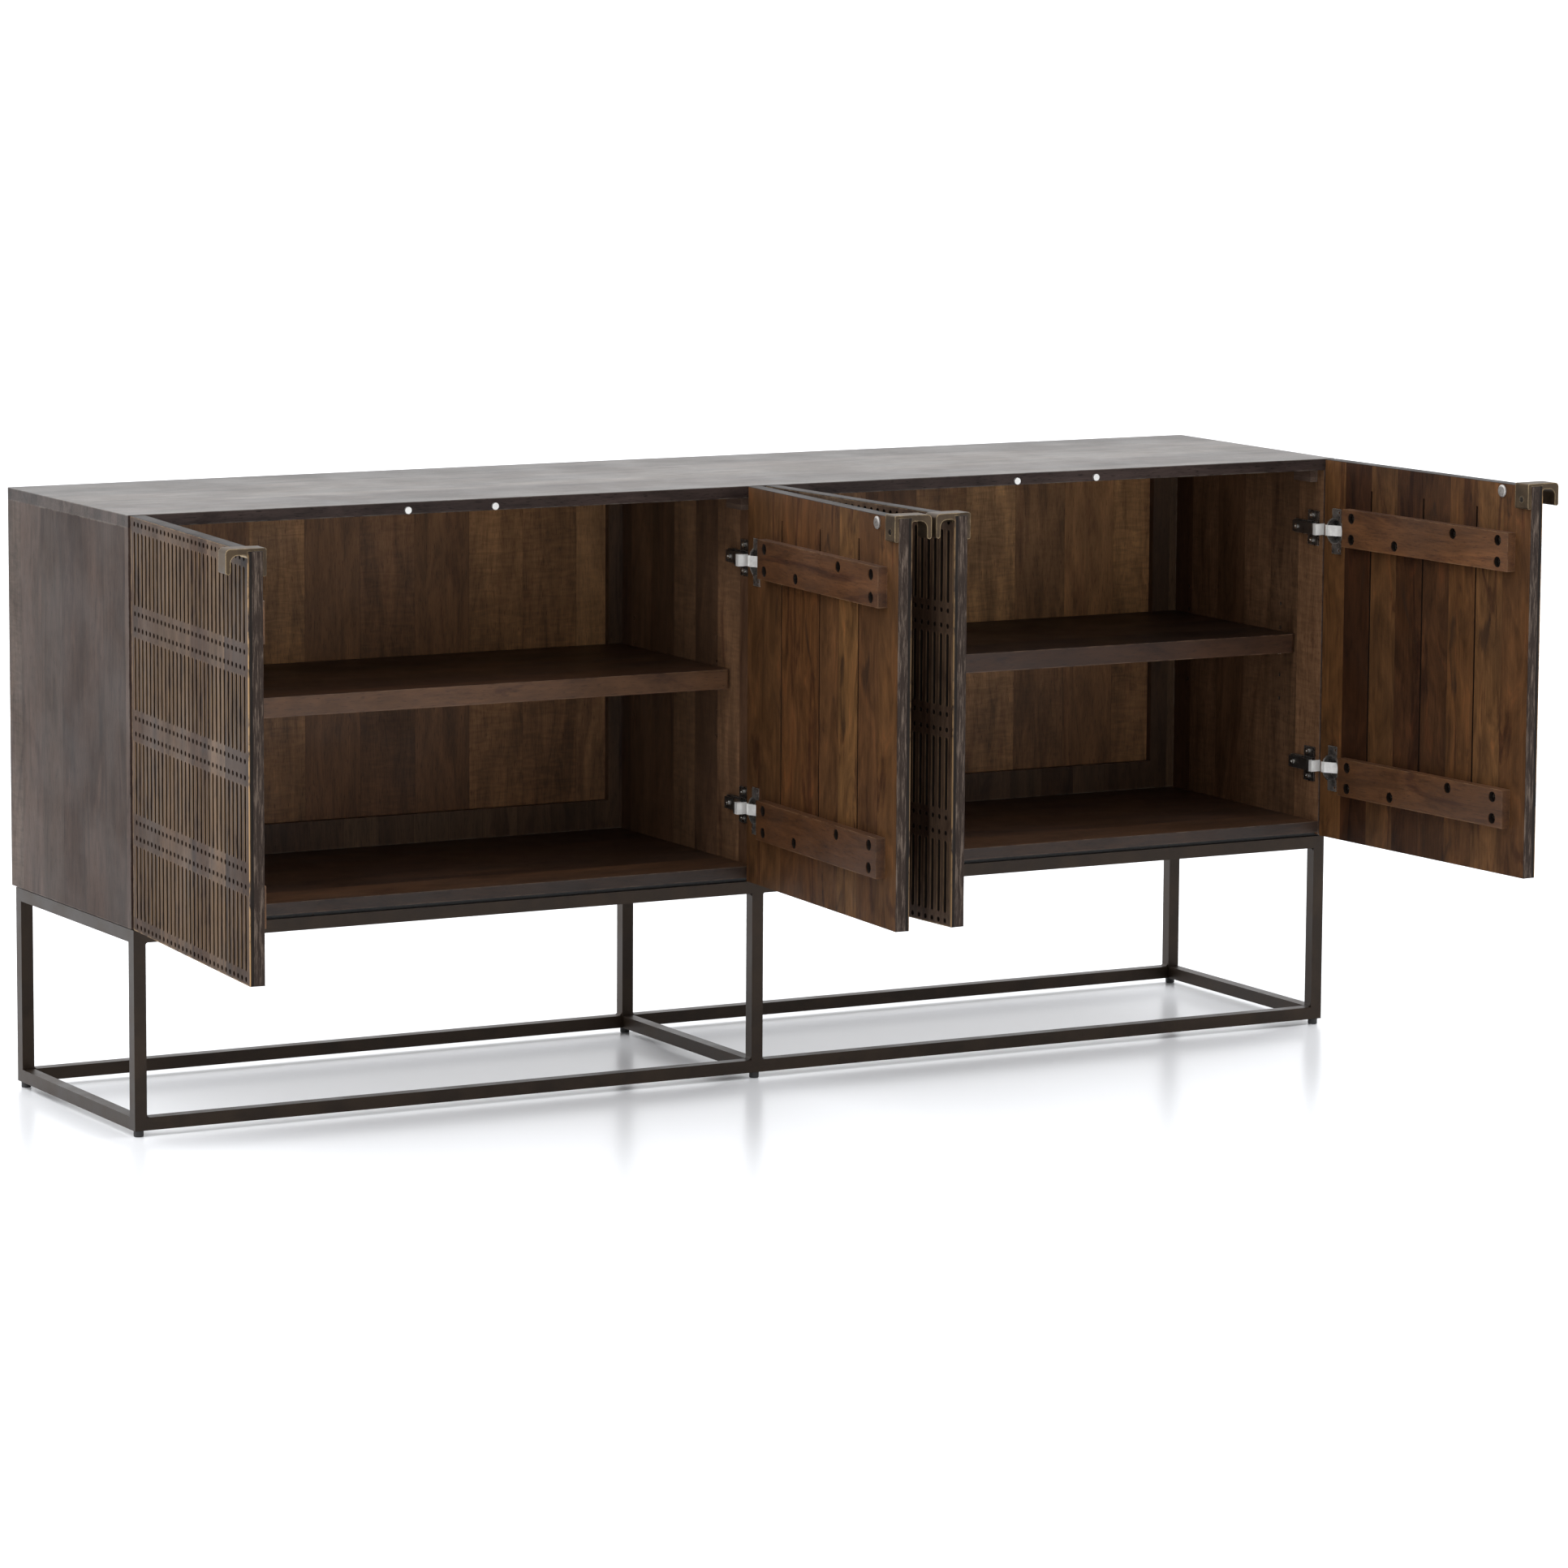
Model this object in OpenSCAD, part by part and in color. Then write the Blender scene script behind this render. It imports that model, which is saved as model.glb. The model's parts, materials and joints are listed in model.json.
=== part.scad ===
// Long low sideboard: a two-bay wooden case with four carved overlay doors
// on a welded square-tube metal base. Millimetres, +Z up, front faces -Y.
// The origin is on the floor under the front middle foot.
// Doors are drawn standing open; each closes about its own hinge line.

/* [Case] */
// Overall width of the case
case_w = 1730; // [1500:5:1900]
// Overall height from the floor to the top surface
case_top = 762; // [740:1:800]
// Height of the underside of the side panels above the floor
case_bottom = 258.5; // [250:0.5:262]
// Depth of the case behind the doors
case_d = 382; // [340:1:460]
// Thickness of the top and bottom boards
board_t = 15; // [14:0.5:20]
// Thickness of the side panels
side_t = 16; // [14:0.5:20]
// Thickness of the centre divider
divider_t = 18; // [16:0.5:24]
// Thickness of the back panels
back_t = 8; // [5:0.5:12]

/* [Shelves] */
// Thickness of the shelves
shelf_t = 25; // [18:0.5:30]
// Height of the top of the shelves above the floor
shelf_z = 522; // [440:1:600]
// How far the shelf fronts stand back from the front of the case
shelf_setback = 60; // [40:1:90]

/* [Doors] */
// Thickness of the doors
door_t = 18; // [16:0.5:20]
// Gap between the inside of a closed door and the front of the case
door_gap = 6.5; // [6:0.1:8]
// Gap between the free edges of two closed doors
pair_gap = 2; // [1.5:0.1:4]
// Gap between the hinge edges of the two middle doors
middle_gap = 8; // [6:0.5:12]
// Opening angle at which the outer left door stands
open_1 = 95; // [0:0.5:100]
// Opening angle at which the inner left door stands
open_2 = 86.5; // [0:0.5:86.5]
// Opening angle at which the inner right door stands
open_3 = 86.5; // [0:0.5:86.5]
// Opening angle at which the outer right door stands
open_4 = 94; // [0:0.5:100]

/* [Carving] */
// Number of groove columns across a door
columns = 29; // [20:1:30]
// Distance between groove columns
column_pitch = 14.3; // [13:0.1:14.3]
// Width of the grooves and of the round dimples
groove_w = 6.4; // [4:0.1:8]
// Length of one groove, end to end
groove_l = 89; // [70:1:92]
// Depth of the carving
groove_depth = 4; // [2:0.5:6]
// Height of one repeat of the pattern
row_pitch = 126.8; // [124:0.1:127]

/* [Base] */
// Outer size of the square tube
tube = 16; // [14:0.5:20]
// Wall thickness of the square tube
tube_wall = 1.5; // [1:0.1:2.5]
// Height of the top of the base above the floor
base_top = 256; // [248:0.5:256]
// Height of the round glides under the legs
glide_h = 8; // [6:0.5:10]
// Diameter of the round glides
glide_d = 12.4; // [10:0.1:14]
// How far the base stands in from the sides of the case
base_inset = 4; // [3:0.5:10]
// How far the base stands in from the front and back of the case
base_inset_y = 3; // [3:0.5:10]

/* [Handles] */
// Length of a handle along the top of its door
handle_l = 26; // [20:1:30]
// Finger gap between the door face and the lip
finger_gap = 20.5; // [16:0.5:22]
// Thickness of the lip
lip_t = 6; // [4:0.5:7]
// Thickness of the leg on the inside of the door
leg_t = 5; // [3:0.5:5.5]

/* [Hidden] */
$fn = 32;

half_w = case_w / 2;
// Front plane of the case: the front middle leg is centred on y = 0
front_y = -(base_inset_y + tube / 2);
bottom_z = case_bottom + 3;
bay_floor = bottom_z + board_t;
bay_top = case_top - board_t;
bay_in = half_w - side_t;
bay_d = case_d - back_t;
panel_h = bay_top - case_bottom;

door_w = (case_w - middle_gap - 2 * pair_gap) / 4;
door_h = case_top - case_bottom;
hinge_z = [case_bottom + 93.5, case_bottom + 410];
batten_z = [case_bottom + 61.5, case_bottom + 392.5];
batten_h = 50;
batten_t = 12.5;
batten_s = 54;
batten_l = 345;
cup_s = 23.5;
cup_d = 35;
kerf_s = [100, 210, 320];
strike_s = 371;
strike_z = case_top - 10;

leg_x = [-(half_w - base_inset - tube / 2), 0, half_w - base_inset - tube / 2];
leg_y = [base_inset_y + tube / 2, case_d - base_inset_y - tube / 2];
rail_z = [glide_h, base_top - tube];

// Hinge edge, swing side and standing angle of each door
hinge_x = [-half_w, -middle_gap / 2, middle_gap / 2, half_w];
swing = [1, -1, 1, -1];
stand = [open_1, open_2, open_3, open_4];

// Everything below is drawn with y = 0 on the front plane of the case
module place() {
    translate([0, front_y, 0]) children();
}

// Carries a door's pieces, drawn closed from its hinge edge, to its open place
module hang(i) {
    place()
    translate([hinge_x[i] + swing[i] * door_t / 2, -(door_gap + door_t / 2), 0])
    rotate([0, 0, -swing[i] * stand[i]])
    mirror([swing[i] < 0 ? 1 : 0, 0, 0])
    translate([-door_t / 2, door_t / 2, 0])
    children();
}

module board(x0, x1, y0, y1, z0, z1) {
    translate([x0, y0, z0]) cube([x1 - x0, y1 - y0, z1 - z0]);
}

// A profile drawn in y and z, extruded along x
module along_x(x0, len) {
    translate([x0, 0, 0]) rotate([90, 0, 90]) linear_extrude(len) children();
}

/* ---- Case ---- */

module top_panel() {
    color([0.35, 0.32, 0.29]) place() difference() {
        board(-half_w, half_w, 0, case_d, bay_top, case_top);
        for (s = [-strike_s, strike_s, strike_s - half_w, half_w - strike_s])
            translate([s + sign(s) * (abs(s) == strike_s ? middle_gap / 2 : 0), -1, strike_z])
                rotate([-90, 0, 0]) cylinder(d = 9, h = 11);
    }
}

module bottom_panel() {
    color([0.33, 0.29, 0.26]) place() difference() {
        union() {
            board(-bay_in, -divider_t / 2, 0, bay_d, bottom_z, bay_floor);
            board(divider_t / 2, bay_in, 0, bay_d, bottom_z, bay_floor);
        }
        for (p = stud_points()) translate([p[0], p[1], bottom_z - 1]) cylinder(d = 6.2, h = stud_up + 1.2);
    }
}

module side_panel(sgn) {
    color([0.35, 0.32, 0.29]) place() difference() {
        board(sgn < 0 ? -half_w : bay_in, sgn < 0 ? -bay_in : half_w, 0, case_d, case_bottom, bay_top);
        shelf_pin_bores(sgn * bay_in, sgn);
    }
}

module side_left() { side_panel(-1); }

module side_right() { side_panel(1); }

module centre_divider() {
    color([0.30, 0.24, 0.19]) place() difference() {
        board(-divider_t / 2, divider_t / 2, 0, bay_d, case_bottom, bay_top);
        shelf_pin_bores(-divider_t / 2, 1);
        shelf_pin_bores(divider_t / 2, -1);
    }
}

// Rows of shelf pin bores; dir points into the board
pin_y = [shelf_setback + 40, 330];
pin_r = 2.45;
pin_rows = [for (k = [-2 : 2]) shelf_z - shelf_t - pin_r + 32 * k];

module shelf_pin_bores(x, dir) {
    for (y = pin_y, z = pin_rows)
        translate([x, y, z]) rotate([0, 90 * dir, 0]) translate([0, 0, -1]) cylinder(d = 5, h = 8.5);
}

module back_left() {
    color([0.26, 0.20, 0.15]) place()
        board(-bay_in, -0.2, bay_d, case_d, case_bottom, bay_top);
}

module back_right() {
    color([0.26, 0.20, 0.15]) place()
        board(0.2, bay_in, bay_d, case_d, case_bottom, bay_top);
}

// Flat frame in front of each back panel: two uprights and two rails, a hair apart
module back_frame() {
    color([0.30, 0.23, 0.17]) place() for (m = [0, 1]) mirror([m, 0, 0]) {
        board(divider_t / 2, divider_t / 2 + 20, bay_d - 10, bay_d, bay_floor, bay_top);
        board(bay_in - 38, bay_in, bay_d - 10, bay_d, bay_floor, bay_top);
        for (z = [[bay_floor, bay_floor + 38], [bay_top - 30, bay_top]])
            board(divider_t / 2 + 20.2, bay_in - 38.2, bay_d - 10, bay_d, z[0], z[1]);
    }
}

// Small blocks under the top in the front and back corners of each bay
module corner_cleats() {
    color([0.36, 0.29, 0.24]) place() for (m = [0, 1], y = [16, bay_d - 60]) mirror([m, 0, 0]) {
        board(divider_t / 2, divider_t / 2 + 11, y, y + 40, bay_top - 17, bay_top);
        board(bay_in - 11, bay_in, y, y + 40, bay_top - 17, bay_top);
    }
}

module shelf(x0, x1) {
    color([0.36, 0.26, 0.19]) place() translate([x0, shelf_setback, shelf_z - shelf_t])
        linear_extrude(shelf_t) difference() {
            square([x1 - x0, bay_d - 11 - shelf_setback]);
            for (m = [0, 1]) translate([m * (x1 - x0), 0]) mirror([m, 0]) difference() {
                translate([-1, -1]) square(7);
                translate([6, 6]) circle(r = 6);
            }
        }
}

module shelf_left() { shelf(-bay_in + 1.5, -divider_t / 2 - 1.5); }

module shelf_right() { shelf(divider_t / 2 + 1.5, bay_in - 1.5); }

// Pin with a thin collar against the panel at x; the shelf rests on its end
module shelf_pin(x) {
    translate([x, 0, shelf_z - shelf_t - pin_r]) rotate([0, 90, 0]) {
        translate([0, 0, -7]) cylinder(r = pin_r, h = 18);
        cylinder(d = 9, h = 1.2);
    }
}

module shelf_pins() {
    color([0.72, 0.70, 0.66]) place() for (y = pin_y, m = [0, 1], x = [-bay_in, divider_t / 2])
        mirror([m, 0, 0]) translate([0, y, 0]) shelf_pin(x);
}

module cabinet_magnets() {
    color([0.80, 0.78, 0.75]) place()
        for (x = [-half_w + strike_s, -middle_gap / 2 - strike_s, middle_gap / 2 + strike_s, half_w - strike_s])
            translate([x, -3, strike_z]) rotate([-90, 0, 0]) cylinder(d = 9, h = 13);
}

/* ---- Hinges on the case ---- */

// Runs its children at the hinges of door i, x outward from the panel face
module hinge_sites(doors = [0 : 3]) {
    for (i = doors, z = hinge_z)
        translate([i == 0 ? -bay_in : i == 1 ? -divider_t / 2 : i == 2 ? divider_t / 2 : bay_in, 0, z])
            mirror([swing[i] < 0 ? 1 : 0, 0, 0]) children();
}

module hinge_plates() {
    color([0.42, 0.40, 0.38]) place() hinge_sites() difference() {
        union() {
            translate([0, 9, -23]) cube([2.5, 24, 46]);
            translate([0, 9, -9]) cube([6, 51, 18]);
        }
        for (z = [-16.5, 16.5]) translate([-1, 23, z]) rotate([0, 90, 0]) cylinder(d = 4.2, h = 5);
    }
}

module hinge_arms() {
    color([0.70, 0.69, 0.66]) place() {
        hinge_sites([0, 3]) hinge_arm(0);
        hinge_sites([1, 2]) hinge_arm(side_t - divider_t / 2 + middle_gap / 2);
    }
}

// Arm standing off its plate, cranked outward by o, with a flat nose facing the door
module hinge_arm(o) {
    difference() {
        translate([0, 0, -7.5]) linear_extrude(15)
            polygon([[6, 58], [6, 11], [11 + o, -1.5], [0.5 + o, -1.5], [0.5 + o, -4.3],
                     [15 + o, -4.3], [15 + o, 1], [12 + o, 12], [10.5, 30], [10.5, 58]]);
        translate([5, 48, 0]) rotate([0, 90, 0]) cylinder(d = 5, h = 12);
    }
}

module hinge_plate_screws() {
    color([0.75, 0.73, 0.70]) place() hinge_sites() {
        for (z = [-16.5, 16.5]) translate([2.5, 23, z]) rotate([0, 90, 0]) pan_screw(7, 2.2);
        translate([10.5, 48, 0]) rotate([0, 90, 0]) pan_screw(6.5, 1.8);
    }
}

// Low round head with a cross recess
module pan_screw(d, h) {
    difference() {
        cylinder(d = d, h = h);
        for (a = [0, 90]) rotate([0, 0, a])
            translate([-d * 0.3, -0.45, h - 0.9]) cube([d * 0.6, 0.9, 2]);
    }
}

/* ---- Base ---- */

module tube_z(x, y, z0, z1) {
    translate([x, y, z0]) difference() {
        translate([-tube / 2, -tube / 2, 0]) cube([tube, tube, z1 - z0]);
        translate([-tube / 2 + tube_wall, -tube / 2 + tube_wall, tube_wall])
            cube([tube - 2 * tube_wall, tube - 2 * tube_wall, z1 - z0 - 2 * tube_wall]);
    }
}

module tube_x(x0, x1, y, z) {
    translate([x0, y - tube / 2, z]) difference() {
        cube([x1 - x0, tube, tube]);
        translate([tube_wall, tube_wall, tube_wall])
            cube([x1 - x0 - 2 * tube_wall, tube - 2 * tube_wall, tube - 2 * tube_wall]);
    }
}

module tube_y(x, y0, y1, z) {
    translate([x - tube / 2, y0, z]) difference() {
        cube([tube, y1 - y0, tube]);
        translate([tube_wall, tube_wall, tube_wall])
            cube([tube - 2 * tube_wall, y1 - y0 - 2 * tube_wall, tube - 2 * tube_wall]);
    }
}

module base_legs() {
    color([0.22, 0.21, 0.19]) place() for (x = leg_x, y = leg_y) tube_z(x, y, glide_h, base_top);
}

module base_long_rails() {
    color([0.22, 0.21, 0.19]) place() for (y = leg_y, z = rail_z, i = [0, 1])
        tube_x(leg_x[i] + tube / 2, leg_x[i + 1] - tube / 2, y, z);
}

module base_cross_rails() {
    color([0.22, 0.21, 0.19]) place() for (x = leg_x, z = rail_z)
        tube_y(x, leg_y[0] + tube / 2, leg_y[1] - tube / 2, z);
}

// Weld fillets in the corners between the legs and the top rails
fillet_r = 5;

module fillet_profile() {
    difference() {
        square(fillet_r);
        translate([fillet_r, fillet_r]) circle(r = fillet_r);
    }
}

module base_fillets() {
    color([0.22, 0.21, 0.19]) place() {
        for (y = leg_y, i = [0, 1], m = [0, 1]) {
            x = m == 0 ? leg_x[i] + tube / 2 : leg_x[i + 1] - tube / 2;
            translate([x, y + 6, base_top - tube]) rotate([90, 0, 0])
                mirror([m, 0, 0]) mirror([0, 1, 0]) linear_extrude(12) fillet_profile();
            translate([x, y + 6, glide_h + tube]) rotate([90, 0, 0])
                mirror([m, 0, 0]) linear_extrude(12) fillet_profile();
        }
    }
}

module glides() {
    color([0.05, 0.05, 0.05]) place() for (x = leg_x, y = leg_y) translate([x, y, 0]) {
        cylinder(d1 = glide_d - 1.6, d2 = glide_d, h = 1);
        translate([0, 0, 1]) cylinder(d = glide_d, h = glide_h - 1);
    }
}

stud_up = 11;
function stud_points() = [for (s = [-1, 1], x = [230, 620], y = [leg_y[0], leg_y[1] - 4]) [s * x, y]];

// Dark packing strips, set back from the edges, that hold the case just clear of the base
module base_spacers() {
    color([0.10, 0.10, 0.10]) place() difference() {
        union() {
            for (y = [8, bay_d - 13])
                board(-half_w + 10, half_w - 10, y, y + 12, base_top, case_bottom);
            for (m = [0, 1]) mirror([m, 0, 0]) {
                board(half_w - 21, half_w - 10, 21, bay_d - 14, base_top, case_bottom);
                for (y = [8, bay_d - 13])
                    board(divider_t / 2 + 0.2, bay_in - 0.2, y, y + 12, case_bottom, bottom_z);
            }
        }
        for (p = stud_points()) translate([p[0], p[1], base_top - 1])
            cylinder(d = 6.2, h = bottom_z - base_top + 2);
    }
}

// Studs that stand on the top rails and screw into the bottom boards
module base_studs() {
    color([0.30, 0.29, 0.28]) place() for (p = stud_points())
        translate([p[0], p[1], base_top]) cylinder(d = 6, h = bottom_z + stud_up - base_top);
}

/* ---- Doors: drawn closed, s = x from the hinge edge, inner face on y = 0 ---- */

column_s0 = (door_w - (columns - 1) * column_pitch) / 2;
row_top = case_top - 8.6;
dimple_to_groove = (108 - groove_l) / 2;

module carving() {
    for (c = [0 : columns - 1], r = [0 : 3]) translate([column_s0 + c * column_pitch, row_top - r * row_pitch]) {
        circle(d = groove_w);
        translate([0, -108]) circle(d = groove_w);
        translate([0, -dimple_to_groove - groove_w / 2]) circle(d = groove_w);
        translate([0, -dimple_to_groove - groove_l + groove_w / 2]) circle(d = groove_w);
        translate([-groove_w / 2, -dimple_to_groove - groove_l + groove_w / 2])
            square([groove_w, groove_l - groove_w]);
    }
}

module door_panel(i) {
    color([0.40, 0.34, 0.28]) hang(i) difference() {
        union() {
            translate([0, groove_depth - door_t, case_bottom]) cube([door_w, door_t - groove_depth, door_h]);
            translate([0, groove_depth - door_t, 0]) rotate([90, 0, 0]) linear_extrude(groove_depth)
                difference() {
                    translate([0, case_bottom]) square([door_w, door_h]);
                    carving();
                }
        }
        for (z = hinge_z) translate([cup_s, 1, z]) rotate([90, 0, 0]) cylinder(d = cup_d, h = 12.5);
        for (s = kerf_s) translate([s - 1.5, -3.5, case_bottom + 62]) cube([3, 4.5, door_h - 96]);
        translate([strike_s, 1, strike_z]) rotate([90, 0, 0]) cylinder(d = 16, h = 2);
    }
}

// Counterbored screw holes in a batten: pairs at the ends, two staggered between
screw_spots = [[19, -14], [19, 14], [111, -14], [232, 14], [324, -14], [324, 14]];
counterbore = 8;

module batten(i, b) {
    color([0.33, 0.23, 0.15]) hang(i) translate([batten_s, 0, batten_z[b]]) difference() {
        cube([batten_l, batten_t, batten_h]);
        for (p = screw_spots) translate([p[0], batten_t + 1, batten_h / 2 + p[1]])
            rotate([90, 0, 0]) cylinder(d = 14, h = counterbore + 1);
    }
}

module batten_screws(i) {
    color([0.30, 0.28, 0.25]) hang(i) for (b = [0, 1], p = screw_spots)
        translate([batten_s + p[0], batten_t - counterbore, batten_z[b] + batten_h / 2 + p[1]])
            rotate([-90, 0, 0]) pan_screw(9.5, 2.2);
}

// Cast hook over the top edge: leg inside, web across the top, lip outside
handle_z0 = case_top - 29;
handle_z1 = case_top + 3.6;
lip_y = -door_t - finger_gap;
handle_s = door_w - handle_l - 1;

module handle_profile() {
    difference() {
        union() {
            translate([0, handle_z0 + 2]) square([leg_t, handle_z1 - handle_z0 - 2]);
            translate([0, handle_z0]) square([leg_t - 2, 4]);
            translate([leg_t - 2, handle_z0 + 2]) circle(r = 2);
            translate([-door_t, case_top]) square([door_t, handle_z1 - case_top]);
            translate([lip_y, case_top - 4]) square([finger_gap, handle_z1 - case_top + 4]);
            translate([lip_y - lip_t, handle_z0 + 3 + lip_t / 2])
                square([lip_t, handle_z1 - handle_z0 - 3 - lip_t / 2]);
            translate([lip_y - lip_t / 2, handle_z0 + 3 + lip_t / 2]) circle(d = lip_t);
            translate([lip_y, case_top - 13]) square([9, 9]);
            translate([-door_t - 4, case_top - 8]) square([4, 4]);
        }
        translate([lip_y + 9, case_top - 13]) circle(r = 9);
        translate([-door_t - 4, case_top - 8]) circle(r = 4);
        difference() {
            translate([lip_y - lip_t - 1, handle_z1 - 6]) square([7, 7]);
            translate([lip_y - lip_t + 6, handle_z1 - 6]) circle(r = 6);
        }
        difference() {
            translate([leg_t - 2, handle_z1 - 2]) square([3, 3]);
            translate([leg_t - 2, handle_z1 - 2]) circle(r = 2);
        }
    }
}

module handle(i) {
    color([0.36, 0.31, 0.25]) hang(i) difference() {
        along_x(handle_s, handle_l) handle_profile();
        translate([handle_s + handle_l / 2, leg_t - 1.5, case_top - 17]) rotate([-90, 0, 0]) cylinder(d = 8, h = 5);
    }
}

module handle_screw(i) {
    color([0.52, 0.46, 0.36]) hang(i)
        translate([handle_s + handle_l / 2, leg_t - 1.5, case_top - 17]) rotate([-90, 0, 0]) pan_screw(7.6, 2);
}

module strike(i) {
    color([0.80, 0.78, 0.75]) hang(i) translate([strike_s, -1, strike_z]) rotate([-90, 0, 0]) difference() {
        union() {
            cylinder(d = 15.9, h = 2.4);
            translate([0, 0, 2.4]) cylinder(d1 = 15.9, d2 = 12, h = 1.2);
        }
        translate([0, 0, 2.6]) cylinder(d = 4, h = 2);
    }
}

// Cup let into the door, its flange, and the pivot pin on the line the door turns about
module hinge_cups(i) {
    color([0.42, 0.40, 0.38]) hang(i) for (z = hinge_z) translate([cup_s, 0, z]) union() {
        difference() {
            union() {
                rotate([90, 0, 0]) cylinder(d = cup_d - 0.1, h = 11);
                translate([-5, 0, -30]) cube([18, 1.5, 60]);
                rotate([-90, 0, 0]) cylinder(d = cup_d + 1, h = 1.5);
            }
            translate([0, 2, 0]) rotate([90, 0, 0]) cylinder(d = cup_d - 2.5, h = 12.2);
            for (e = [-25, 25]) translate([9.5, 2.5, e]) rotate([90, 0, 0]) cylinder(d = 4.4, h = 4);
        }
        translate([door_t / 2 - cup_s, -door_t / 2, -7.6]) cylinder(r = 1.1, h = 15.2);
    }
}

// Link that reaches from the bottom of the cup out past the hinge edge
module hinge_links(i) {
    color([0.78, 0.77, 0.74]) hang(i) for (z = hinge_z) translate([0, 0, z - 7])
        linear_extrude(14)
            polygon([[4.5, 1.7], [6, 3.2], [12, 2.9], [31, -6.8], [31, -10.2], [28, -10.2], [28, -8.6], [9.5, 1.7]]);
}

module door_1_panel() { door_panel(0); }
module door_1_upper_batten() { batten(0, 1); }
module door_1_lower_batten() { batten(0, 0); }
module door_1_batten_screws() { batten_screws(0); }
module door_1_handle() { handle(0); }
module door_1_handle_screw() { handle_screw(0); }
module door_1_strike() { strike(0); }
module door_1_hinge_cups() { hinge_cups(0); }
module door_1_hinge_links() { hinge_links(0); }

module door_2_panel() { door_panel(1); }
module door_2_upper_batten() { batten(1, 1); }
module door_2_lower_batten() { batten(1, 0); }
module door_2_batten_screws() { batten_screws(1); }
module door_2_handle() { handle(1); }
module door_2_handle_screw() { handle_screw(1); }
module door_2_strike() { strike(1); }
module door_2_hinge_cups() { hinge_cups(1); }
module door_2_hinge_links() { hinge_links(1); }

module door_3_panel() { door_panel(2); }
module door_3_upper_batten() { batten(2, 1); }
module door_3_lower_batten() { batten(2, 0); }
module door_3_batten_screws() { batten_screws(2); }
module door_3_handle() { handle(2); }
module door_3_handle_screw() { handle_screw(2); }
module door_3_strike() { strike(2); }
module door_3_hinge_cups() { hinge_cups(2); }
module door_3_hinge_links() { hinge_links(2); }

module door_4_panel() { door_panel(3); }
module door_4_upper_batten() { batten(3, 1); }
module door_4_lower_batten() { batten(3, 0); }
module door_4_batten_screws() { batten_screws(3); }
module door_4_handle() { handle(3); }
module door_4_handle_screw() { handle_screw(3); }
module door_4_strike() { strike(3); }
module door_4_hinge_cups() { hinge_cups(3); }
module door_4_hinge_links() { hinge_links(3); }

top_panel();
bottom_panel();
side_left();
side_right();
centre_divider();
back_left();
back_right();
back_frame();
corner_cleats();
shelf_left();
shelf_right();
shelf_pins();
cabinet_magnets();
hinge_plates();
hinge_arms();
hinge_plate_screws();
base_legs();
base_long_rails();
base_cross_rails();
base_fillets();
glides();
base_spacers();
base_studs();
door_1_panel();
door_1_upper_batten();
door_1_lower_batten();
door_1_batten_screws();
door_1_handle();
door_1_handle_screw();
door_1_strike();
door_1_hinge_cups();
door_1_hinge_links();
door_2_panel();
door_2_upper_batten();
door_2_lower_batten();
door_2_batten_screws();
door_2_handle();
door_2_handle_screw();
door_2_strike();
door_2_hinge_cups();
door_2_hinge_links();
door_3_panel();
door_3_upper_batten();
door_3_lower_batten();
door_3_batten_screws();
door_3_handle();
door_3_handle_screw();
door_3_strike();
door_3_hinge_cups();
door_3_hinge_links();
door_4_panel();
door_4_upper_batten();
door_4_lower_batten();
door_4_batten_screws();
door_4_handle();
door_4_handle_screw();
door_4_strike();
door_4_hinge_cups();
door_4_hinge_links();
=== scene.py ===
import json
import math

import bpy
from mathutils import Matrix, Vector


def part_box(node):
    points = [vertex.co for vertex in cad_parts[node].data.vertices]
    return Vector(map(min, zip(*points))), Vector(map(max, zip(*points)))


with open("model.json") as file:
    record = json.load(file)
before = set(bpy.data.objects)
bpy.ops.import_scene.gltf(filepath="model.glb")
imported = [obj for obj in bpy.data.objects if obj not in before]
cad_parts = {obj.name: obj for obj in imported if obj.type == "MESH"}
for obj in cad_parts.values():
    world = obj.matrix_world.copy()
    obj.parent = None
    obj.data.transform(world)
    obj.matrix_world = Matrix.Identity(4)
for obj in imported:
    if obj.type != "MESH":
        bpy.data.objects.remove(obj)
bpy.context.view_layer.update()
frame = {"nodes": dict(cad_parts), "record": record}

nodes = frame["nodes"]
joints = {j["name"]: j for j in frame["record"]["behaviour"]["joints"]}
scene = bpy.context.scene

# The photograph's viewpoint: metres and radians in the part's frame, lens and sensor in mm
CAMERA_AT = (-3.9365, -7.247, 1.5672)
CAMERA_YAW = 0.502
CAMERA_PITCH = -0.143
CAMERA_ROLL = 0.006
LENS_MM = 150.313
SENSOR_MM = 36.0
CAMERA_REACH = 200.0

# Strength of the soft sky: ahead of the part, behind it, and what the left and the top add
SKY_FRONT, SKY_BACK, SKY_LEFT, SKY_TOP = 0.56, 1.20, 0.55, 1.35
SKY_COLOUR = (0.975, 0.985, 1.0, 1.0)
FLOOR_COLOUR = (0.955, 0.965, 0.985)
FLOOR_SIDE = 160.0

# Doors, in metres, in a door's own frame: x from the hinge edge, y 0 on the inner face
DOOR_W = 0.4295
DOOR_T = 0.018
KERFS = (0.100, 0.210, 0.320)
BATTEN_X = (0.054, 0.399)
BATTEN_T = 0.0125
BATTEN_HALF_H = 0.025
BATTEN_Z = {"upper": 0.4175, "lower": 0.0865}

# Carving: columns of grooves and rows of them, as cut in the doors
COLUMNS = 29
PITCH = 0.0143
GROOVE_W = 0.0064
ROW_H = 0.1268
ROW_LEAD = 0.0004

# Stave widths, in metres
TOP_STAVE, SIDE_STAVE, BOTTOM_STAVE, DIVIDER_STAVE = 0.085, 0.066, 0.070, 0.060
BACK_STAVE, SHELF_STAVE, FRAME_STAVE, DOOR_STAVE = 0.078, 0.090, 0.050, 0.0605
INNER_STAVE = 0.055
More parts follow.
